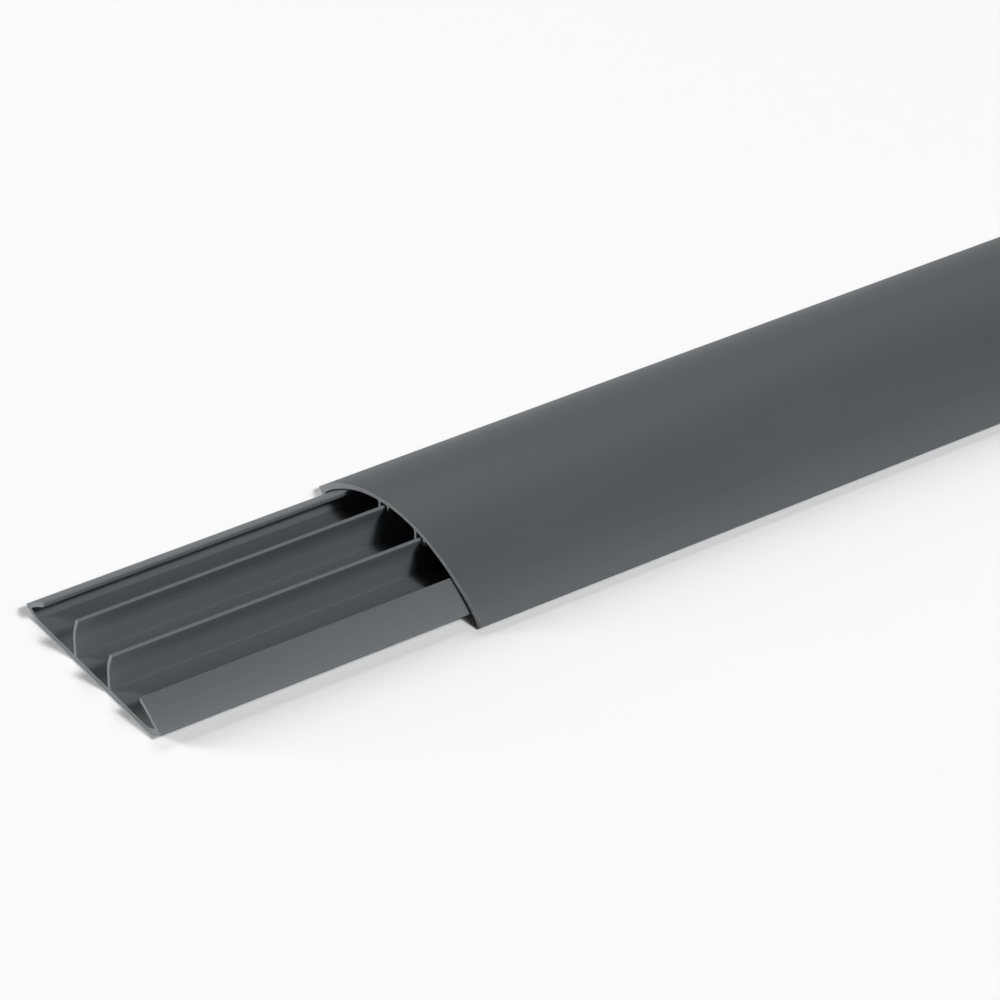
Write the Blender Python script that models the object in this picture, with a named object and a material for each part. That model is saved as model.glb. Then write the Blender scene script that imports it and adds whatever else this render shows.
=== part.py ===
"""Floor cord cover: a flat three-way base channel and the domed cover that slides over it.

Both are straight extrusions of rigid plastic, one metre long.  Length runs along X,
width along Y and height along Z.  Sections are drawn in (y, z) and every size is in
millimetres until mm() turns it into metres.
"""
import math

import bpy
from mathutils import Matrix

# Lengths
STOCK_LENGTH = 1000.0        # both extrusions
COVER_SHIFT = 89.2           # how far the cover stands back from the base's bare end
OVERALL = STOCK_LENGTH + COVER_SHIFT

# Base channel: flat floor with an inturned lip on each side
FLOOR_THICK = 1.5
FLOOR_EDGE = 26.5            # half width of the flat that lies on the ground
FLOOR_BEND = 1.5             # rounding where the underside starts to rise
FOLD_Y = 32.2                # outer fold, where the rising underside turns back into the lip
FOLD_LOW_Z, FOLD_HIGH_Z = 2.45, 2.95
FOLD_ROUND = 0.25
LIP_RADIUS = 53.0            # outer face of the lip
LIP_THICK = 1.3
LIP_TIP_Y = 23.1             # half the clear width between the two lips
LIP_TIP_LOW_Z, LIP_TIP_HIGH_Z = 7.2, 8.5
LIP_TIP_ROUND = 0.5
LIP_ROOT_Y, LIP_ROOT_Z = 29.75, 3.0    # corner inside the fold
LIP_ROOT_ROUND = 0.3

# Dividers: a straight stem that bends over into a head on the near side
DIVIDER_Y = 8.15             # centre of each stem, either side of the middle
DIVIDER_THICK = 1.1
DIVIDER_KNEE_Z = 8.4         # height of the bend
DIVIDER_KNEE_ROUND = 9.0
DIVIDER_LEAN = 1.9
DIVIDER_ROOT_ROUND = 0.6
HEAD_GAP = 0.38              # from each head up to the dome
HEAD_SLOPE = 0.1             # drop across the head
HEAD_ROUND = 0.5

# Domed cover: a wall that thickens toward two feet
OUTER_RADIUS, OUTER_CROWN_Z = 59.5, 15.0
INNER_RADIUS, INNER_CROWN_Z = 54.0, 14.1
FOOT_OUTER_Y, FOOT_OUTER_Z = 37.5, 1.75
FOOT_OUTER_ROUND = 0.35
FOOT_INNER_Y, FOOT_INNER_Z = 34.0, 2.1
FOOT_INNER_ROUND = 0.6
FOOT_BOTTOM_Z = 0.3          # the feet just clear the ground
FOOT_HEEL = 1.0              # from the inner corner across to the sole
FOOT_SOLE = 0.9              # flat under each foot
FOOT_HEEL_ROUND = 0.2

# Catches: behind each divider's head a leg, in front of it a barb
LEG_THICK = 0.9
LEG_SHIFT = 0.2              # from the stem's centre to the leg's near face
LEG_TIP_Z = 10.2
LEG_TIP_ROUND = 0.35
LEG_ROOT_ROUND = 0.9
BARB_THICK = 0.7
BARB_LENGTH = 1.9
BARB_CLEAR = 0.4             # from the head to the barb
BARB_SLANT = 0.4             # how much shorter the barb's near face is
CATCH_ROUND = 0.2            # small corners of the catches
BARB_ROOT_ROUND = 0.4

# How close an arc's first and last points come to the corners that it runs between
ARC_MARGIN = 0.9
CATCH_MARGIN_NEAR, CATCH_MARGIN_FAR = 1.0, 1.6


def mm(value):
    """Millimetres to metres."""
    return value * 0.001


def arc(radius, crown_z, y_from, y_to, count):
    """Points on an arc whose top would stand at crown_z on the middle line."""
    points = []
    for i in range(count):
        y = y_from + (y_to - y_from) * i / (count - 1)
        points.append((y, crown_z - radius + math.sqrt(radius ** 2 - y ** 2), 0.0))
    return points


def rounded(corners, steps=3):
    """Turn (y, z, radius) corners into an outline whose corners are rounded."""
    outline = []
    for i, (y, z, radius) in enumerate(corners):
        if radius <= 0.0:
            outline.append((y, z))
            continue
        before, after = corners[i - 1], corners[(i + 1) % len(corners)]
        in_y, in_z = before[0] - y, before[1] - z
        out_y, out_z = after[0] - y, after[1] - z
        in_len, out_len = math.hypot(in_y, in_z), math.hypot(out_y, out_z)
        in_y, in_z, out_y, out_z = in_y / in_len, in_z / in_len, out_y / out_len, out_z / out_len
        half = 0.5 * math.acos(max(-1.0, min(1.0, in_y * out_y + in_z * out_z)))
        reach = min(radius / math.tan(half), 0.45 * in_len, 0.45 * out_len)
        size = reach * math.tan(half)
        mid_y, mid_z = in_y + out_y, in_z + out_z
        mid_len = math.hypot(mid_y, mid_z)
        to_centre = size / math.sin(half)
        cy, cz = y + mid_y / mid_len * to_centre, z + mid_z / mid_len * to_centre
        first = math.atan2(z + in_z * reach - cz, y + in_y * reach - cy)
        last = math.atan2(z + out_z * reach - cz, y + out_y * reach - cy)
        turn = (last - first + math.pi) % (2 * math.pi) - math.pi
        for k in range(steps + 1):
            angle = first + turn * k / steps
            outline.append((cy + size * math.cos(angle), cz + size * math.sin(angle)))
    return outline


def mirrored(corners):
    """The same run of corners on the other side of the middle line."""
    return [(-y, z, radius) for y, z, radius in reversed(corners)]


def base_edge():
    """Far edge of the base: rising underside, lip, and back down to the floor."""
    lip_crown = FOLD_HIGH_Z + LIP_RADIUS - math.sqrt(LIP_RADIUS ** 2 - FOLD_Y ** 2)
    tip_inside = LIP_TIP_Y + ARC_MARGIN
    return (
        [
            (FLOOR_EDGE, 0.0, FLOOR_BEND),
            (FOLD_Y, FOLD_LOW_Z, FOLD_ROUND),
            (FOLD_Y, FOLD_HIGH_Z, FOLD_ROUND),
        ]
        + arc(LIP_RADIUS, lip_crown, FOLD_Y - ARC_MARGIN, tip_inside, 5)
        + [
            (LIP_TIP_Y + 0.1, LIP_TIP_HIGH_Z, LIP_TIP_ROUND),
            (LIP_TIP_Y, LIP_TIP_LOW_Z, LIP_TIP_ROUND),
        ]
        + arc(LIP_RADIUS - LIP_THICK, lip_crown - LIP_THICK, tip_inside, LIP_ROOT_Y - ARC_MARGIN, 4)
        + [
            (LIP_ROOT_Y, LIP_ROOT_Z, LIP_ROOT_ROUND),
            (FLOOR_EDGE, FLOOR_THICK, FLOOR_BEND),
        ]
    )


def inner_z(y):
    """Height of the dome's inner face at y."""
    return INNER_CROWN_Z - INNER_RADIUS + math.sqrt(INNER_RADIUS ** 2 - y ** 2)


def divider(stem_y):
    """Both faces of one divider, from its far foot over the head to its near foot."""
    half = 0.5 * DIVIDER_THICK
    head_y = stem_y - DIVIDER_LEAN
    head_z = inner_z(head_y) - HEAD_GAP
    return [
        (stem_y + half, FLOOR_THICK, DIVIDER_ROOT_ROUND),
        (stem_y + half, DIVIDER_KNEE_Z, DIVIDER_KNEE_ROUND),
        (head_y + half, head_z, HEAD_ROUND),
        (head_y - half, head_z - HEAD_SLOPE, HEAD_ROUND),
        (stem_y - half, DIVIDER_KNEE_Z, DIVIDER_KNEE_ROUND),
        (stem_y - half, FLOOR_THICK, DIVIDER_ROOT_ROUND),
    ]


def base_section():
    """Outline of the base channel."""
    far = base_edge()
    return rounded(far + divider(DIVIDER_Y) + divider(-DIVIDER_Y) + mirrored(far))


def catches(stem_y):
    """Leg and barb that hold one divider head, from the far side to the near side."""
    leg_near = stem_y + LEG_SHIFT
    leg_far = leg_near + LEG_THICK
    barb_far = stem_y - DIVIDER_LEAN - 0.5 * DIVIDER_THICK - BARB_CLEAR
    barb_near = barb_far - BARB_THICK
    return [
        (leg_far, inner_z(leg_far), LEG_ROOT_ROUND),
        (leg_far, LEG_TIP_Z, LEG_TIP_ROUND),
        (leg_near, LEG_TIP_Z, LEG_TIP_ROUND),
        (leg_near, inner_z(leg_near), CATCH_ROUND),
        (barb_far, inner_z(barb_far), CATCH_ROUND),
        (barb_far, inner_z(barb_far) - BARB_LENGTH, CATCH_ROUND),
        (barb_near, inner_z(barb_near) - BARB_LENGTH + BARB_SLANT, CATCH_ROUND),
        (barb_near, inner_z(barb_near), BARB_ROOT_ROUND),
    ]


def cover_section():
    """Outline of the domed cover, from the far foot over the crown and back inside."""
    foot = [
        (FOOT_INNER_Y, FOOT_INNER_Z, FOOT_INNER_ROUND),
        (FOOT_INNER_Y + FOOT_HEEL, FOOT_BOTTOM_Z, FOOT_HEEL_ROUND),
        (FOOT_INNER_Y + FOOT_HEEL + FOOT_SOLE, FOOT_BOTTOM_Z, FOOT_INNER_ROUND),
        (FOOT_OUTER_Y, FOOT_OUTER_Z, FOOT_OUTER_ROUND),
    ]
    outer_end = FOOT_OUTER_Y - 0.5 * ARC_MARGIN
    inner_end = FOOT_INNER_Y - ARC_MARGIN
    far_catch, near_catch = catches(DIVIDER_Y), catches(-DIVIDER_Y)
    return rounded(
        foot
        + arc(OUTER_RADIUS, OUTER_CROWN_Z, outer_end, -outer_end, 33)
        + mirrored(foot)
        + arc(INNER_RADIUS, INNER_CROWN_Z, -inner_end, near_catch[-1][0] - CATCH_MARGIN_NEAR, 9)
        + list(reversed(near_catch))
        + arc(INNER_RADIUS, INNER_CROWN_Z, near_catch[0][0] + CATCH_MARGIN_FAR,
              far_catch[-1][0] - CATCH_MARGIN_NEAR, 5)
        + list(reversed(far_catch))
        + arc(INNER_RADIUS, INNER_CROWN_Z, far_catch[0][0] + CATCH_MARGIN_FAR, inner_end, 9)
    )


def plastic(name, colour, roughness):
    """Matte rigid plastic."""
    material = bpy.data.materials.new(name)
    material.use_nodes = True
    shader = material.node_tree.nodes["Principled BSDF"]
    shader.inputs["Base Color"].default_value = (*colour, 1.0)
    shader.inputs["Roughness"].default_value = roughness
    return material


def extrusion(name, outline, x_start, material, collection):
    """Closed outline filled and drawn out along X for the stock length."""
    curve = bpy.data.curves.new(name, "CURVE")
    curve.dimensions = "2D"
    curve.fill_mode = "BOTH"
    curve.extrude = mm(0.5 * STOCK_LENGTH)
    spline = curve.splines.new("POLY")
    spline.points.add(len(outline) - 1)
    for point, (y, z) in zip(spline.points, outline):
        point.co = (mm(y), mm(z), 0.0, 1.0)
    spline.use_cyclic_u = True
    curve.materials.append(material)
    piece = bpy.data.objects.new(name, curve)
    # the outline's own x, y and z become world Y, Z and X
    turn = Matrix(((0, 0, 1, 0), (1, 0, 0, 0), (0, 1, 0, 0), (0, 0, 0, 1)))
    middle = mm(x_start + 0.5 * STOCK_LENGTH - 0.5 * OVERALL)
    piece.matrix_world = Matrix.Translation((middle, 0.0, 0.0)) @ turn
    collection.objects.link(piece)
    return piece


def main():
    """Clear the scene and build both pieces."""
    for old in list(bpy.data.objects):
        bpy.data.objects.remove(old, do_unlink=True)
    collection = bpy.data.collections.new("floor_cord_cover")
    bpy.context.scene.collection.children.link(collection)
    base_plastic = plastic("base_plastic", (0.118, 0.125, 0.135), 0.45)
    cover_plastic = plastic("cover_plastic", (0.128, 0.135, 0.145), 0.42)
    extrusion("base_channel", base_section(), 0.0, base_plastic, collection)
    extrusion("domed_cover", cover_section(), COVER_SHIFT, cover_plastic, collection)


main()
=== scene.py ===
"""Floor cord cover: the looks of the three-way base channel and of the domed cover on it.

Both pieces are straight extrusions of rigid PVC.  Each one's section is drawn in the
plane of its sawn end, its corners are rounded, and it is drawn out along X.  Sections
are given in millimetres as (y, z) and become metres in SectionSketch.
"""
import logging
import math
from dataclasses import dataclass, field
from enum import Enum, IntEnum

import bmesh
import bpy
from bmesh.types import BMesh, BMFace, BMVert
from mathutils import Matrix, Vector


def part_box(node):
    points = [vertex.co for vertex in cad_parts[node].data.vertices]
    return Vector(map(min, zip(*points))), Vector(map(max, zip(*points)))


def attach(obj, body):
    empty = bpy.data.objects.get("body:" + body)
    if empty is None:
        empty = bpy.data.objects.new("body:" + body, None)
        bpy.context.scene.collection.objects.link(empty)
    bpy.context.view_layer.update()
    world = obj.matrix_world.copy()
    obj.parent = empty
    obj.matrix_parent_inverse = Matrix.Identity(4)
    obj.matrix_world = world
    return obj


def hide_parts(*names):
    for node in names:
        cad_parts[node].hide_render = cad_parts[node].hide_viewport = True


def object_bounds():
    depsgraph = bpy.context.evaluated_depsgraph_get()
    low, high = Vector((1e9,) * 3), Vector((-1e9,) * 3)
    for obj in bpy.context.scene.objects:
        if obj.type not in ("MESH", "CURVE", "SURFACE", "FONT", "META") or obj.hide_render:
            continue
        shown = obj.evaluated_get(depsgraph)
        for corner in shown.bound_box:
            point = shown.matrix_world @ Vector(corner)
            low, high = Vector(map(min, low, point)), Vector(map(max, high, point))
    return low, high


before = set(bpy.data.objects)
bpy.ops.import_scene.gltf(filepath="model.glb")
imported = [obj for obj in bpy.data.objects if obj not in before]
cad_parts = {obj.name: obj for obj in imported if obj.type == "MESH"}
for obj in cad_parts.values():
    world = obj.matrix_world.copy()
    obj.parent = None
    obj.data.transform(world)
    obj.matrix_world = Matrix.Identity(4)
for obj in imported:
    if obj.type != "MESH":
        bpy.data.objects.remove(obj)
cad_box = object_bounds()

LOG = logging.getLogger("floor_cord_cover")
EDGE_HIGHLIGHT = "edge_highlight"      # point attribute: 1 on a sharp convex edge that gets a painted highlight, 0 elsewhere
Triple = tuple[float, float, float]     # a colour, a point or a scale


class Side(IntEnum):
    """Side of the middle line, as the sign of its y."""

    FAR = 1
    NEAR = -1


class Skin(IntEnum):
    """Material slot that a face of an extrusion takes its finish from."""

    DRAWN = 0
    SAWN = 1


class Body(Enum):
    """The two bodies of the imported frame."""

    BASE = "base"
    COVER = "cover"


def metres(millimetres: float) -> float:
    """Turn millimetres into metres."""
    return millimetres * 0.001


class NodeSheet:
    """A new material and short calls that lay out its nodes."""

    def __init__(self, name: str) -> None:
        """Start a material with the given name and find its shader.

        Args:
            name: the material's name.
        """
        self.material = bpy.data.materials.new(name)
        self.material.use_nodes = True
        self.tree = self.material.node_tree
        self.shader = self.tree.nodes["Principled BSDF"]

    def node(self, kind: str, settings: dict[str, object], **sockets: object) -> bpy.types.Node:
        """Add one node, set its options and feed its inputs.

        Args:
            kind: the node's Blender type.
            settings: options by property name.
            **sockets: inputs by name, an underscore for each space; an output
                socket is wired in and anything else becomes the input's value.

        Returns:
            The new node.
        """
        made = self.tree.nodes.new(kind)
        for option, value in settings.items():
            setattr(made, option, value)
        for label, value in sockets.items():
            self.feed(made.inputs[label.replace("_", " ")], value)
        return made

    def feed(self, target: bpy.types.NodeSocket, value: object) -> None:
        """Wire an output socket into an input, or set the input's own value.

        Args:
            target: the input socket.
            value: an output socket, or a plain value.
        """
        if isinstance(value, bpy.types.NodeSocket):
            self.tree.links.new(value, target)
        else:
            target.default_value = value

    def stretched(self, scale: Triple) -> bpy.types.NodeSocket:
        """Give Object coordinates with each axis scaled.

        Args:
            scale: pattern cells per metre along x, y and z.

        Returns:
            The scaled vector's socket.
        """
        place = self.node("ShaderNodeTexCoord", {}).outputs["Object"]
        return self.node("ShaderNodeMapping", {}, Vector=place, Scale=scale).outputs["Vector"]

    def noise(self, scale: Triple, detail: float = 3.0, rough: float = 0.5) -> bpy.types.NodeSocket:
        """Give a noise between 0 and 1.

        Args:
            scale: cells per metre along x, y and z.
            detail: octaves of finer noise.
            rough: share that each finer octave keeps.

        Returns:
            The noise's value socket.
        """
        return self.node("ShaderNodeTexNoise", {}, Vector=self.stretched(scale), Scale=1.0,
                         Detail=detail, Roughness=rough).outputs[0]

    def spread(self, value: bpy.types.NodeSocket, low: float, high: float,
               start: float = 0.3, end: float = 0.7) -> bpy.types.NodeSocket:
        """Map a value onto a range.

        Args:
            value: the socket to map.
            low: result at start and below.
            high: result at end and above.
            start: input that gives low.
            end: input that gives high.

        Returns:
            The mapped value's socket.
        """
        mapped = self.node("ShaderNodeMapRange", {"interpolation_type": "SMOOTHSTEP"}, Value=value,
                           From_Min=start, From_Max=end, To_Min=low, To_Max=high)
        return mapped.outputs[0]

    def around(self, value: bpy.types.NodeSocket, middle: float,
               swing: float) -> bpy.types.NodeSocket:
        """Map a noise onto the range from middle - swing to middle + swing.

        Args:
            value: the noise's socket.
            middle: middle of the range.
            swing: half of the range.

        Returns:
            The mapped value's socket.
        """
        return self.spread(value, middle - swing, middle + swing)

    def combined(self, operation: str, first: object, second: object) -> bpy.types.NodeSocket:
        """Combine two numbers or sockets with a Math node.

        Args:
            operation: the Math node's operation, such as ADD or MULTIPLY.
            first: a socket or a number.
            second: a socket or a number.

        Returns:
            The result's socket.
        """
        made = self.tree.nodes.new("ShaderNodeMath")
        made.operation = operation
        self.feed(made.inputs[0], first)
        self.feed(made.inputs[1], second)
        return made.outputs[0]

    def times(self, first: object, second: object) -> bpy.types.NodeSocket:
        """Multiply two numbers or sockets."""
        return self.combined("MULTIPLY", first, second)

    def plus(self, first: object, second: object) -> bpy.types.NodeSocket:
        """Add two numbers or sockets."""
        return self.combined("ADD", first, second)

    def tinted(self, colour: Triple, brightness: bpy.types.NodeSocket) -> bpy.types.NodeSocket:
        """Give a colour whose brightness follows a socket.

        Args:
            colour: the colour at brightness 1.
            brightness: the socket to multiply it by.

        Returns:
            The colour's socket.
        """
        red, green, blue = (self.times(brightness, part) for part in colour)
        return self.node("ShaderNodeCombineColor", {}, Red=red, Green=green, Blue=blue).outputs[0]

    def relief(self, height: bpy.types.NodeSocket, depth: float,
               under: bpy.types.NodeSocket | None = None) -> bpy.types.NodeSocket:
        """Turn a height pattern into relief.

        Args:
            height: the pattern, 0 to 1.
            depth: how deep the pattern is, in metres.
            under: relief that this one lies on.

        Returns:
            The bump's normal socket.
        """
        bump = self.node("ShaderNodeBump", {}, Height=height, Distance=depth, Strength=1.0)
        if under is not None:
            self.feed(bump.inputs["Normal"], under)
        return bump.outputs[0]


@dataclass(frozen=True)
class DrawnSkin:
    """Satin skin that the extrusion die leaves on rigid PVC.

    Attributes:
        name: the material's name.
        colour: the plastic's own colour.
        roughness: middle of the gloss.
        mottle: share by which the colour wanders over a few centimetres.
        streak: share by which it differs between the die's fine streaks.
        fleck: share by which it differs between grains.
        highlighted: how much lighter a sharp convex edge is made, as a painted highlight.
        cloudy_gloss: how far the roughness wanders with the mottle.
        streaky_gloss: how far it wanders with the streaks.
        streak_depth: depth of the streaks in millimetres.
        grain_depth: depth of the grain in millimetres.
        cloud_cells: cells of the mottle per metre along x, y and z.
        streak_cells: cells of the streaks per metre.
        grain_cells: cells of the grain per metre.
    """

    name: str
    colour: Triple
    roughness: float
    mottle: float = 0.03
    streak: float = 0.02
    fleck: float = 0.02
    highlighted: float = 0.1
    cloudy_gloss: float = 0.03
    streaky_gloss: float = 0.02
    streak_depth: float = 0.008
    grain_depth: float = 0.008
    cloud_cells: Triple = (14.0, 40.0, 40.0)
    streak_cells: Triple = (1.5, 620.0, 620.0)
    grain_cells: Triple = (2400.0, 3000.0, 3000.0)

    def material(self) -> bpy.types.Material:
        """Lay out the skin's nodes.

        Returns:
            The finished material.
        """
        sheet = NodeSheet(self.name)
        clouds = sheet.noise(self.cloud_cells, detail=4.0)
        die_lines = sheet.noise(self.streak_cells, detail=2.0)
        grain = sheet.noise(self.grain_cells, detail=2.0)
        highlight = sheet.node("ShaderNodeAttribute", {"attribute_name": EDGE_HIGHLIGHT}).outputs["Fac"]
        brightness = sheet.times(sheet.around(clouds, 1.0, self.mottle),
                                 sheet.around(die_lines, 1.0, self.streak))
        brightness = sheet.times(brightness, sheet.around(grain, 1.0, self.fleck))
        # Painted highlight: sharp convex edges are made lighter along their whole length, in place
        # of the light that their rounding catches.
        brightness = sheet.times(brightness, sheet.plus(1.0, sheet.times(highlight, self.highlighted)))
        sheet.feed(sheet.shader.inputs["Base Color"], sheet.tinted(self.colour, brightness))
        gloss = sheet.plus(sheet.around(clouds, self.roughness, self.cloudy_gloss),
                           sheet.around(die_lines, 0.0, self.streaky_gloss))
        sheet.feed(sheet.shader.inputs["Roughness"], gloss)
        lines = sheet.relief(die_lines, metres(self.streak_depth))
        skin = sheet.relief(grain, metres(self.grain_depth), lines)
        sheet.feed(sheet.shader.inputs["Normal"], skin)
        return sheet.material


@dataclass(frozen=True)
class SawnEnd:
    """Paler, rougher face across an extrusion: partly the saw's real whitening and partly painted
    light, since the cut is made paler to stand in for light on the end faces and along the rim.

    Attributes:
        name: the material's name.
        colour: colour of the cut, made paler than the skin partly as painted light.
        roughness: middle of the gloss.
        mark_cells: cells of the saw marks per metre along x, y and z.
        chip_cells: cells of the chipped spots per metre.
        mark: share by which the colour differs between the saw's marks.
        chip: share by which it differs between chipped and clean spots.
        mark_depth: depth of the marks in millimetres.
        chip_depth: depth of the chipped spots in millimetres.
    """

    name: str
    colour: Triple
    roughness: float = 0.6
    mark_cells: Triple = (60.0, 60.0, 1500.0)
    chip_cells: Triple = (900.0, 900.0, 900.0)
    mark: float = 0.06
    chip: float = 0.05
    mark_depth: float = 0.03
    chip_depth: float = 0.02

    def material(self) -> bpy.types.Material:
        """Lay out the cut's nodes.

        Returns:
            The finished material.
        """
        sheet = NodeSheet(self.name)
        marks = sheet.noise(self.mark_cells, detail=2.0)
        chips = sheet.noise(self.chip_cells, detail=3.0)
        brightness = sheet.times(sheet.around(marks, 1.0, self.mark),
                                 sheet.around(chips, 1.0, self.chip))
        sheet.feed(sheet.shader.inputs["Base Color"], sheet.tinted(self.colour, brightness))
        gloss = sheet.around(marks, self.roughness, self.mark)
        sheet.feed(sheet.shader.inputs["Roughness"], gloss)
        cut = sheet.relief(marks, metres(self.mark_depth))
        cut = sheet.relief(chips, metres(self.chip_depth), cut)
        sheet.feed(sheet.shader.inputs["Normal"], cut)
        return sheet.material


@dataclass(frozen=True)
class StudioFloor:
    """Plain pale floor covering.

    Attributes:
        name: the material's name.
        colour: the floor's colour.
        roughness: the floor's gloss.
        mottle: share by which the colour wanders.
        cloud_cells: cells of that pattern per metre along x, y and z.
    """

    name: str = "studio_floor"
    colour: Triple = (0.95, 0.95, 0.95)
    roughness: float = 0.75
    mottle: float = 0.01
    cloud_cells: Triple = (0.8, 0.8, 0.8)

    def material(self) -> bpy.types.Material:
        """Lay out the floor's nodes.

        Returns:
            The finished material.
        """
        sheet = NodeSheet(self.name)
        clouds = sheet.noise(self.cloud_cells)
        tint = sheet.tinted(self.colour, sheet.around(clouds, 1.0, self.mottle))
        sheet.feed(sheet.shader.inputs["Base Color"], tint)
        sheet.shader.inputs["Roughness"].default_value = self.roughness
        return sheet.material


@dataclass
class SectionSketch:
    """One closed section, drawn stroke by stroke in the plane of a sawn end.

    Attributes:
        x: where that plane crosses the duct, in metres.
        sharpest: radius in metres up to which a rounded edge counts as sharp; a sharp convex edge
            gets a painted highlight.
        longest_run: share of its shorter edge that a rounding may take.
        sharp_steps: facets round a sharp corner.
        soft_steps: facets round a soft one.
        mesh: the mesh that the section is drawn in.
        first: the section's first point.
        last: its last point so far.
        rounding: each corner with its radius in metres.
    """

    x: float
    sharpest: float = metres(0.6)
    longest_run: float = 0.45
    sharp_steps: int = 6
    soft_steps: int = 10
    mesh: BMesh = field(default_factory=bmesh.new)
    first: BMVert | None = None
    last: BMVert | None = None
    rounding: list[tuple[BMVert, float]] = field(default_factory=list)

    def __post_init__(self) -> None:
        """Give the mesh its wear attribute before any vertex is drawn."""
        self.mesh.verts.layers.float.new(EDGE_HIGHLIGHT)

    def point(self, y: float, z: float) -> BMVert:
        """Add a point and join it to the last one.

        Args:
            y: millimetres across the duct.
            z: millimetres above the ground.

        Returns:
            The point's vertex.
        """
        vertex = self.mesh.verts.new((self.x, metres(y), metres(z)))
        if self.last is None:
            self.first = vertex
        else:
            self.mesh.edges.new((self.last, vertex))
        self.last = vertex
        return vertex

    def reach(self, vertex: BMVert, radius: float) -> float:
        """Work out how far a corner's rounding runs along its two edges.

        Args:
            vertex: the corner.
            radius: the rounding's radius in metres.

        Returns:
            The run in metres, at most longest_run of the shorter edge.
        """
        runs = [edge.other_vert(vertex).co - vertex.co for edge in vertex.link_edges]
        half = 0.5 * runs[0].angle(runs[1])
        return min([radius / math.tan(half)] + [self.longest_run * run.length for run in runs])

    def close(self) -> BMFace:
        """Join the ends, fill the section, round its corners and mark the sharp convex ones for a
        painted highlight.

        Returns:
            The section's face.
        """
        self.mesh.edges.new((self.last, self.first))
        runs = [self.reach(vertex, radius) for vertex, radius in self.rounding]
        bmesh.ops.contextual_create(self.mesh, geom=self.mesh.edges[:])
        self.mesh.faces.ensure_lookup_table()
        self.mesh.faces[0].normal_update()
        # Sharp convex roundings are marked for the painted edge highlight.
        highlighted = [radius <= self.sharpest and vertex.link_loops[0].is_convex
                  for vertex, radius in self.rounding]
        highlight = self.mesh.verts.layers.float[EDGE_HIGHLIGHT]
        for (vertex, radius), run, gets_highlight in zip(self.rounding, runs, highlighted):
            round_off = bmesh.ops.bevel(
                self.mesh, geom=[vertex], offset=run, offset_type="OFFSET", affect="VERTICES",
                segments=self.sharp_steps if radius <= self.sharpest else self.soft_steps,
                profile=0.5,
                clamp_overlap=False, material=-1)
            made = set(round_off["verts"])
            for rounded in made if gets_highlight else ():
                if all(edge.other_vert(rounded) in made for edge in rounded.link_edges):
                    rounded[highlight] = 1.0
        self.mesh.faces.ensure_lookup_table()
        return self.mesh.faces[0]


@dataclass(frozen=True)
class Bend:
    """A corner of a section, rounded off.

    Attributes:
        y: millimetres across the duct.
        z: millimetres above the ground.
        radius: rounding in millimetres.
    """

    y: float
    z: float
    radius: float

    def mirrored(self) -> "Bend":
        """Give the same corner on the other side of the middle line."""
        return Bend(-self.y, self.z, self.radius)

    def draw(self, sketch: SectionSketch) -> None:
        """Draw the corner and note its rounding."""
        sketch.rounding.append((sketch.point(self.y, self.z), metres(self.radius)))


@dataclass(frozen=True)
class Arc:
    """A round stretch of a section, centred under the middle line.

    Attributes:
        radius: the arc's radius in millimetres.
        crown_z: height at which the whole arc would cross the middle line.
        y_from: y of the arc's first point.
        y_to: y of its last point.
        steps: facets along the arc.
    """

    radius: float
    crown_z: float
    y_from: float
    y_to: float
    steps: int

    def z(self, y: float) -> float:
        """Height of the arc at y."""
        return self.crown_z - self.radius + math.sqrt(self.radius ** 2 - y ** 2)

    def mirrored(self) -> "Arc":
        """Give the same arc on the other side, drawn the other way round."""
        return Arc(self.radius, self.crown_z, -self.y_to, -self.y_from, self.steps)

    def draw(self, sketch: SectionSketch) -> None:
        """Draw the arc by spinning its first point.

        Args:
            sketch: the sketch to draw on.
        """
        start = sketch.point(self.y_from, self.z(self.y_from))
        turn = math.acos(self.y_to / self.radius) - math.acos(self.y_from / self.radius)
        centre = (sketch.x, 0.0, metres(self.crown_z - self.radius))
        spun = bmesh.ops.spin(sketch.mesh, geom=[start], cent=centre, axis=(1.0, 0.0, 0.0),
                              angle=turn, steps=self.steps, use_merge=False)
        sketch.last = next(part for part in spun["geom_last"] if isinstance(part, BMVert))


Stroke = Bend | Arc


def mirrored(strokes: list[Stroke]) -> list[Stroke]:
    """Give the same run of strokes on the other side of the middle line."""
    return [stroke.mirrored() for stroke in reversed(strokes)]


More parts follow.
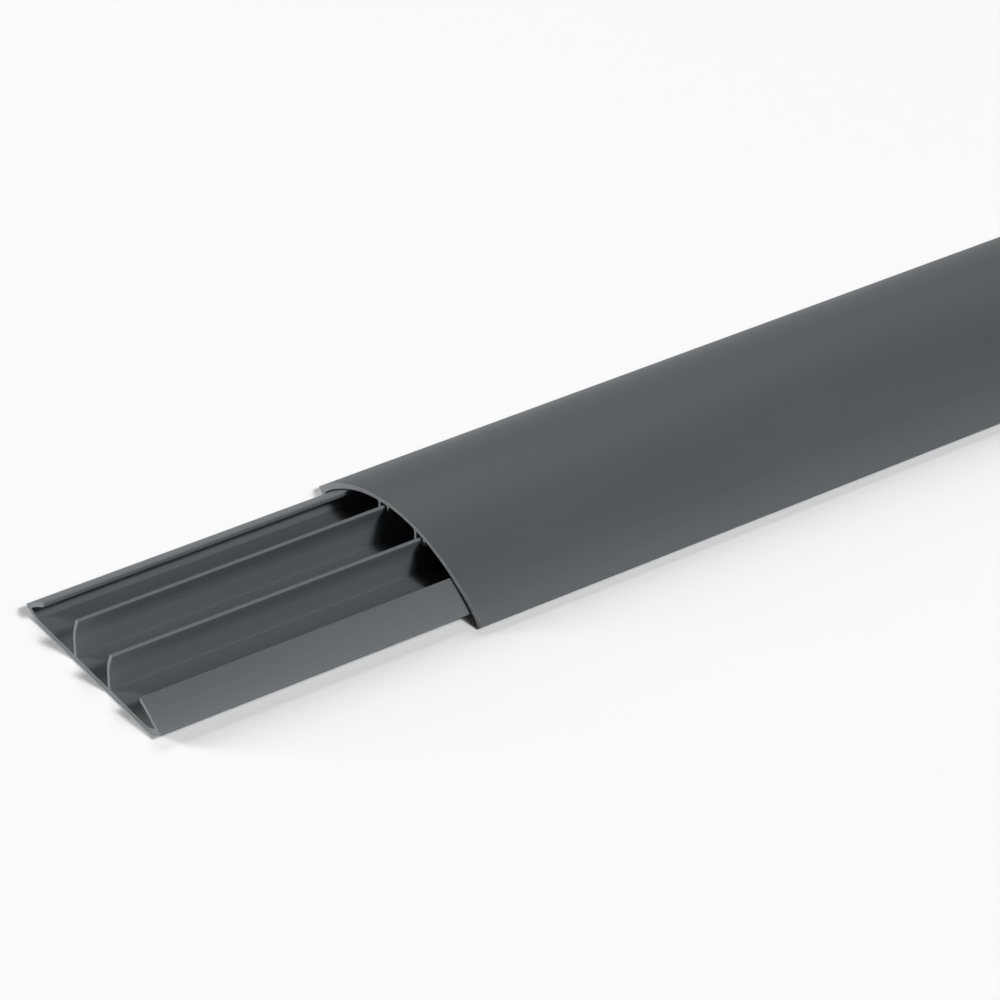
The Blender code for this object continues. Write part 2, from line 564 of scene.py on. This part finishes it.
@dataclass
class Extrusion:
    """A section drawn out along X between two sawn ends.

    Attributes:
        node: the CAD node that this piece stands for.
        body: the body it rides on.
        slot: the record's material slot; not used.
        skin: finish of the drawn faces.
        cut: finish of the sawn ends.
        arris: width of the broken edge round each sawn end, in millimetres.
        first_step: share of that width that the edge's outer facet takes.
        bay: length of one stretch of the mesh, in metres.
        crease: angle in degrees from which an edge is shaded sharp.
    """

    node: str
    body: Body
    slot: str
    skin: DrawnSkin
    cut: SawnEnd
    arris: float = 0.08
    first_step: float = 0.3
    bay: float = 0.05
    crease: float = 28.0

    def section(self) -> list[Stroke]:
        """Give this piece's outline."""
        raise NotImplementedError

    def build(self) -> bpy.types.Object:
        """Draw the section, extrude it and dress it.

        Returns:
            The finished piece.
        """
        low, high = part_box(self.node)
        inset = metres(self.arris)
        sketch = SectionSketch(low.x + inset)
        for stroke in self.section():
            stroke.draw(sketch)
        near_end = sketch.close()
        mesh = sketch.mesh
        drawn = bmesh.ops.extrude_face_region(mesh, geom=[near_end], use_keep_orig=True)["geom"]
        far_end = next(part for part in drawn if isinstance(part, BMFace))
        moved = [part for part in drawn if isinstance(part, BMVert)]
        bmesh.ops.translate(mesh, verts=moved, vec=(high.x - low.x - 2.0 * inset, 0.0, 0.0))
        bmesh.ops.recalc_face_normals(mesh, faces=mesh.faces)
        self.saw_ends(mesh, [near_end, far_end])
        self.cut_into_bays(mesh, low.x, high.x)
        self.mark_sharp(mesh)
        return self.finished(mesh)

    def saw_ends(self, mesh: BMesh, ends: list[BMFace]) -> None:
        """Break the edges round both ends and give the cuts their finish.

        Args:
            mesh: the extrusion's mesh.
            ends: the two end faces, which still stand short by the broken edge.
        """
        highlight = mesh.verts.layers.float[EDGE_HIGHLIGHT]
        steps = ((self.first_step, 1.0 - self.first_step), (1.0 - self.first_step, self.first_step))
        for end in ends:
            end.material_index = Skin.SAWN
            for inward, outward in steps:
                ring = bmesh.ops.inset_region(
                    mesh, faces=[end], thickness=metres(self.arris) * inward,
                    depth=metres(self.arris) * outward, use_even_offset=True)
                for face in ring["faces"]:
                    face.material_index = Skin.SAWN
            # The sawn ends get no painted edge highlight.
            for vertex in end.verts:
                vertex[highlight] = 0.0

    def cut_into_bays(self, mesh: BMesh, start: float, end: float) -> None:
        """Divide the long faces across the duct into even stretches.

        Args:
            mesh: the extrusion's mesh.
            start: the piece's lowest x.
            end: the piece's highest x.
        """
        count = max(2, round((end - start) / self.bay))
        for step in range(1, count):
            place = start + (end - start) * step / count
            bmesh.ops.bisect_plane(mesh, geom=mesh.verts[:] + mesh.edges[:] + mesh.faces[:],
                                   plane_co=(place, 0.0, 0.0), plane_no=(1.0, 0.0, 0.0))

    def mark_sharp(self, mesh: BMesh) -> None:
        """Shade the faces smooth and keep real edges sharp.

        Args:
            mesh: the extrusion's mesh.
        """
        for face in mesh.faces:
            face.smooth = True
        for edge in mesh.edges:
            edge.smooth = edge.calc_face_angle(0.0) < math.radians(self.crease)

    def finished(self, mesh: BMesh) -> bpy.types.Object:
        """Args:
            mesh: the finished mesh, which is freed.

        Returns:
            The new object.
        """
        data = bpy.data.meshes.new(f"{self.node}_drawn")
        mesh.to_mesh(data)
        mesh.free()
        for finish in (self.skin, self.cut):
            data.materials.append(finish.material())
        piece = bpy.data.objects.new(data.name, data)
        bpy.context.scene.collection.objects.link(piece)
        shading = piece.modifiers.new("even_shading", "WEIGHTED_NORMAL")
        shading.keep_sharp = True
        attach(piece, self.body.value)
        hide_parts(self.node)
        return piece


@dataclass
class BaseChannel(Extrusion):
    """Flat floor with two leaning dividers and an inturned lip on each side.

    All sizes are in millimetres.

    Attributes:
        floor_thick: thickness of the floor.
        floor_half: half width of the strip that lies on the ground.
        floor_bend: rounding where the floor starts to rise.
        fold_y: y of the fold between the rising underside and the lip.
        fold_low: height of the fold's lower corner.
        fold_high: height of its upper corner.
        lip_radius: radius of the lip's outer face.
        lip_thick: thickness of the lip.
        lip_tip: half the clear width between the lips.
        tip_low: height of the lip's lower edge.
        tip_high: height of its upper edge.
        tip_slant: how much farther out the upper edge stands than the lower one.
        tip_round: rounding of both edges.
        fold_round: rounding of the fold's corners.
        root_bend: rounding of the corner inside the fold.
        root_y: y of the corner inside the fold.
        root_z: height of that corner.
        margin: how close an arc comes to the corners that it runs between.
        stem_y: distance of each divider's stem from the middle line.
        stem_thick: thickness of a divider.
        knee_z: height at which a divider bends over.
        knee_round: radius of that bend.
        root_round: rounding where a divider meets the floor.
        lean: how far the head leans to the near side.
        head_gap: from each head up to the dome.
        head_slope: drop across the head.
        head_round: rounding of the head's corners.
        lip_steps: facets along the lip's outer face.
        lining_steps: facets along its inner face.
        dome: inner face of the cover, up to which the heads reach.
    """

    floor_thick: float = 1.5
    floor_half: float = 26.5
    floor_bend: float = 1.5
    fold_y: float = 32.2
    fold_low: float = 2.45
    fold_high: float = 2.95
    lip_radius: float = 53.0
    lip_thick: float = 1.3
    lip_tip: float = 23.1
    tip_low: float = 7.2
    tip_high: float = 8.5
    tip_slant: float = 0.1
    tip_round: float = 0.5
    fold_round: float = 0.25
    root_bend: float = 0.3
    root_y: float = 29.75
    root_z: float = 3.0
    margin: float = 0.9
    stem_y: float = 8.15
    stem_thick: float = 1.1
    knee_z: float = 8.4
    knee_round: float = 9.0
    root_round: float = 0.08
    lean: float = 1.9
    head_gap: float = 0.38
    head_slope: float = 0.1
    head_round: float = 0.5
    lip_steps: int = 12
    lining_steps: int = 8
    dome: Arc | None = None

    def lip(self) -> list[Stroke]:
        """Outline of the far edge: rising underside, lip, and back down to the floor.

        Returns:
            The strokes, in order.
        """
        crown = self.fold_high + self.lip_radius - math.sqrt(self.lip_radius ** 2 - self.fold_y ** 2)
        tip_arc = self.lip_tip + self.margin
        return [
            Bend(self.floor_half, 0.0, self.floor_bend),
            Bend(self.fold_y, self.fold_low, self.fold_round),
            Bend(self.fold_y, self.fold_high, self.fold_round),
            Arc(self.lip_radius, crown, self.fold_y - self.margin, tip_arc, self.lip_steps),
            Bend(self.lip_tip + self.tip_slant, self.tip_high, self.tip_round),
            Bend(self.lip_tip, self.tip_low, self.tip_round),
            Arc(self.lip_radius - self.lip_thick, crown - self.lip_thick, tip_arc,
                self.root_y - self.margin, self.lining_steps),
            Bend(self.root_y, self.root_z, self.root_bend),
            Bend(self.floor_half, self.floor_thick, self.floor_bend),
        ]

    def divider(self, side: Side) -> list[Stroke]:
        """Outline of one divider from its far root over the head to its near root.

        Args:
            side: which side of the middle line the divider stands on.

        Returns:
            The divider's corners.
        """
        half = 0.5 * self.stem_thick
        stem, head = side * self.stem_y, side * self.stem_y - self.lean
        head_z = self.dome.z(head) - self.head_gap
        return [
            Bend(stem + half, self.floor_thick, self.root_round),
            Bend(stem + half, self.knee_z, self.knee_round),
            Bend(head + half, head_z, self.head_round),
            Bend(head - half, head_z - self.head_slope, self.head_round),
            Bend(stem - half, self.knee_z, self.knee_round),
            Bend(stem - half, self.floor_thick, self.root_round),
        ]

    def section(self) -> list[Stroke]:
        """Outline of the base, from the far lip to the near lip."""
        lip = self.lip()
        return lip + self.divider(Side.FAR) + self.divider(Side.NEAR) + mirrored(lip)


@dataclass
class DomedCover(Extrusion):
    """Low dome on two feet, with a leg and a barb round each divider's head.

    All sizes are in millimetres.

    Attributes:
        channel: the base that the catches fit.
        dome: the dome's inner face, from the near foot to the far one.
        outer_radius: radius of the dome's outer face.
        outer_crown: height of that face.
        foot_y: half width over the feet.
        foot_z: height at which the outer face meets the foot.
        foot_round: rounding of that corner.
        outer_inset: how far before the foot the outer arc ends.
        heel_y: y at which the inner face meets the foot.
        heel_z: height of that corner.
        heel_run: from that corner across to the sole.
        heel_round: rounding of the heel and of the sole's outer edge.
        sole_round: rounding of the sole's inner edge.
        sole: flat under each foot.
        sole_z: gap between the feet and the ground.
        leg_thick: thickness of the leg behind each divider.
        leg_tip: height of the leg's end.
        leg_shift: from the stem's centre to the leg.
        leg_round: rounding of the leg's end.
        leg_fillet: rounding behind the leg, where it meets the dome.
        barb_thick: thickness of the barb in front of each head.
        barb_drop: how far the barb reaches down.
        barb_slant: how much shorter the barb's near face is.
        barb_gap: from the head to the barb.
        barb_round: rounding of the barb's corners and of the corners beside it.
        barb_fillet: rounding before the barb, where it meets the dome.
        lead_in: from the end of an arc to the barb that follows it.
        lead_out: from a leg to the arc that follows it.
        outer_steps: facets along the outer face.
        side_steps: facets along the inner face beside the dividers.
        crown_steps: facets along it between the dividers.
    """

    channel: BaseChannel | None = None
    dome: Arc | None = None
    outer_radius: float = 59.5
    outer_crown: float = 15.0
    foot_y: float = 37.47
    foot_z: float = 1.75
    foot_round: float = 0.35
    outer_inset: float = 0.4
    heel_y: float = 34.0
    heel_z: float = 2.1
    heel_run: float = 1.0
    heel_round: float = 0.6
    sole_round: float = 0.2
    sole: float = 0.9
    sole_z: float = 0.3
    leg_thick: float = 0.9
    leg_tip: float = 10.2
    leg_shift: float = 0.2
    leg_round: float = 0.35
    leg_fillet: float = 0.9
    barb_thick: float = 0.7
    barb_drop: float = 1.9
    barb_slant: float = 0.4
    barb_gap: float = 0.4
    barb_round: float = 0.2
    barb_fillet: float = 0.4
    lead_in: float = 1.0
    lead_out: float = 1.6
    outer_steps: int = 96
    side_steps: int = 24
    crown_steps: int = 16

    def foot(self) -> list[Stroke]:
        """Outline of the far foot, from the inner face to the outer face.

        Returns:
            The foot's corners.
        """
        sole_y = self.heel_y + self.heel_run
        return [
            Bend(self.heel_y, self.heel_z, self.heel_round),
            Bend(sole_y, self.sole_z, self.sole_round),
            Bend(sole_y + self.sole, self.sole_z, self.heel_round),
            Bend(self.foot_y, self.foot_z, self.foot_round),
        ]

    def catches(self, side: Side) -> list[Bend]:
        """Outline of the barb and the leg round one divider's head, near side first.

        Args:
            side: which side of the middle line the divider stands on.

        Returns:
            The corners, in order of y.
        """
        stem = side * self.channel.stem_y
        leg_near = stem + self.leg_shift
        leg_far = leg_near + self.leg_thick
        barb_far = stem - self.channel.lean - 0.5 * self.channel.stem_thick - self.barb_gap
        barb_near = barb_far - self.barb_thick
        inner_z = self.dome.z
        return [
            Bend(barb_near, inner_z(barb_near), self.barb_fillet),
            Bend(barb_near, inner_z(barb_near) - self.barb_drop + self.barb_slant,
                 self.barb_round),
            Bend(barb_far, inner_z(barb_far) - self.barb_drop, self.barb_round),
            Bend(barb_far, inner_z(barb_far), self.barb_round),
            Bend(leg_near, inner_z(leg_near), self.barb_round),
            Bend(leg_near, self.leg_tip, self.leg_round),
            Bend(leg_far, self.leg_tip, self.leg_round),
            Bend(leg_far, inner_z(leg_far), self.leg_fillet),
        ]

    def ceiling(self, y_from: float, y_to: float, steps: int) -> Arc:
        """Give a stretch of the dome's inner face."""
        return Arc(self.dome.radius, self.dome.crown_z, y_from, y_to, steps)

    def section(self) -> list[Stroke]:
        """Outline of the cover, from the far foot over the crown and back inside.

        Returns:
            The strokes, in order.
        """
        foot, near, far = self.foot(), self.catches(Side.NEAR), self.catches(Side.FAR)
        outer_end = self.foot_y - self.outer_inset
        return [
            *foot,
            Arc(self.outer_radius, self.outer_crown, outer_end, -outer_end, self.outer_steps),
            *mirrored(foot),
            self.ceiling(self.dome.y_from, near[0].y - self.lead_in, self.side_steps),
            *near,
            self.ceiling(near[-1].y + self.lead_out, far[0].y - self.lead_in,
                         self.crown_steps),
            *far,
            self.ceiling(far[-1].y + self.lead_out, self.dome.y_to, self.side_steps),
        ]


@dataclass(frozen=True)
class SoftLamp:
    """One broad lamp that stands so far off that it lights the whole floor evenly.

    Attributes:
        name: the lamp's name.
        azimuth: degrees round the object; 0 stands on the near side and 90 at +X.
        elevation: degrees above the floor.
        spread: how wide the lamp looks from the object, in degrees.
        strength: light on a face turned toward it, in watts per square metre.
        distance: metres from the object to the lamp's symbol, which changes no light.
    """

    name: str
    azimuth: float
    elevation: float
    spread: float
    strength: float
    distance: float = 2.4

    def hang(self) -> bpy.types.Object:
        """Hang the lamp.

        Returns:
            The lamp's object.
        """
        turn, rise = math.radians(self.azimuth), math.radians(self.elevation)
        away = Vector((math.sin(turn) * math.cos(rise), -math.cos(turn) * math.cos(rise),
                       math.sin(rise)))
        data = bpy.data.lights.new(self.name, "SUN")
        data.angle = math.radians(self.spread)
        data.energy = self.strength
        lamp = bpy.data.objects.new(self.name, data)
        lamp.location = away * self.distance
        lamp.rotation_euler = away.to_track_quat("Z", "Y").to_euler()
        bpy.context.scene.collection.objects.link(lamp)
        return lamp


@dataclass
class Studio:
    """Pale floor, soft lamps, dim surroundings and the camera.

    Attributes:
        floor_half: half width of the floor in metres.
        surround: brightness of the surroundings.
        lens: focal length in millimetres.
        sensor: width of the sensor in millimetres.
        sight: nearest and farthest distance that the camera sees, in metres.
        stand: where the camera stands, measured from the middle of the bare end.
        heading: degrees that it looks away from +Y, toward +X.
        dip: degrees that it looks down.
        roll: degrees that its right side is raised.
        lamps: the soft lamps.
    """

    floor_half: float = 30.0
    surround: float = 0.03
    lens: float = 151.107
    sensor: float = 36.0
    sight: tuple[float, float] = (0.05, 100.0)
    stand: Triple = (-0.39064, -0.72753, 0.60656)
    heading: float = 35.0768
    dip: float = 34.0013
    roll: float = 0.7538
    lamps: tuple[SoftLamp, ...] = (
        SoftLamp("key", 15.0, 43.0, spread=8.0, strength=1.9),
        SoftLamp("key_fill", 15.0, 43.0, spread=24.0, strength=0.8),
        SoftLamp("near_low", 20.0, 30.0, spread=18.0, strength=0.15),
        SoftLamp("behind", 158.0, 43.0, spread=24.0, strength=0.62),
        SoftLamp("behind_left_low", 225.0, 15.0, spread=18.0, strength=3.0),
    )

    def lay_floor(self) -> bpy.types.Object:
        """Lay the floor under the object.

        Returns:
            The floor's object.
        """
        mesh = bmesh.new()
        bmesh.ops.create_grid(mesh, x_segments=4, y_segments=4, size=self.floor_half)
        data = bpy.data.meshes.new("studio_floor")
        mesh.to_mesh(data)
        mesh.free()
        data.materials.append(StudioFloor().material())
        floor = bpy.data.objects.new("studio_floor", data)
        bpy.context.scene.collection.objects.link(floor)
        return floor

    def light(self) -> None:
        """Hang the lamps and set the surroundings."""
        for lamp in self.lamps:
            lamp.hang()
        world = bpy.data.worlds.new("surroundings")
        world.use_nodes = True
        glow = world.node_tree.nodes["Background"]
        glow.inputs["Color"].default_value = (1.0, 1.0, 1.0, 1.0)
        glow.inputs["Strength"].default_value = self.surround
        bpy.context.scene.world = world
        bpy.context.scene.view_settings.view_transform = "Standard"

    def place_camera(self) -> bpy.types.Object:
        """Stand the camera where the photograph was taken from.

        Returns:
            The camera's object.
        """
        data = bpy.data.cameras.new("camera")
        data.lens = self.lens
        data.sensor_width = self.sensor
        data.clip_start, data.clip_end = self.sight
        camera = bpy.data.objects.new("camera", data)
        bare_end = Vector((cad_box[0][0], 0.0, 0.0))
        turn = (Matrix.Rotation(math.radians(-self.heading), 4, "Z")
                @ Matrix.Rotation(math.radians(90.0 - self.dip), 4, "X")
                @ Matrix.Rotation(math.radians(self.roll), 4, "Z"))
        camera.matrix_world = Matrix.Translation(bare_end + Vector(self.stand)) @ turn
        bpy.context.scene.collection.objects.link(camera)
        bpy.context.scene.camera = camera
        return camera

    def build(self) -> None:
        """Set up the whole studio."""
        self.lay_floor()
        self.light()
        self.place_camera()


def main() -> None:
    """Build both pieces and the studio, and report each piece."""
    logging.basicConfig(level=logging.INFO, format="%(name)s: %(message)s")
    dome = Arc(radius=54.0, crown_z=14.1, y_from=-33.1, y_to=33.1, steps=64)
    base = BaseChannel(
        node="base_channel", body=Body.BASE, slot="base_plastic",
        skin=DrawnSkin("slate_pvc_base", (0.096, 0.109, 0.118), roughness=0.55),
        # The base's cut is paler than its skin, partly from the saw and partly as painted light on
        # the end faces.
        cut=SawnEnd("slate_pvc_base_cut", (0.148, 0.162, 0.171)), dome=dome)
    cover = DomedCover(
        node="domed_cover", body=Body.COVER, slot="cover_plastic",
        skin=DrawnSkin("slate_pvc_cover", (0.0675, 0.0775, 0.0845), roughness=0.55),
        # The cover's cut is much paler than its skin: partly the saw's whitening, partly a painted
        # highlight along the rim and painted light on the end face.
        cut=SawnEnd("slate_pvc_cover_cut", (0.185, 0.199, 0.208)), channel=base, dome=dome)
    for extrusion in (base, cover):
        piece = extrusion.build()
        LOG.info("%s: %d faces on body %s", piece.name, len(piece.data.polygons),
                 extrusion.body.value)
    Studio().build()


if __name__ == "__main__":
    main()
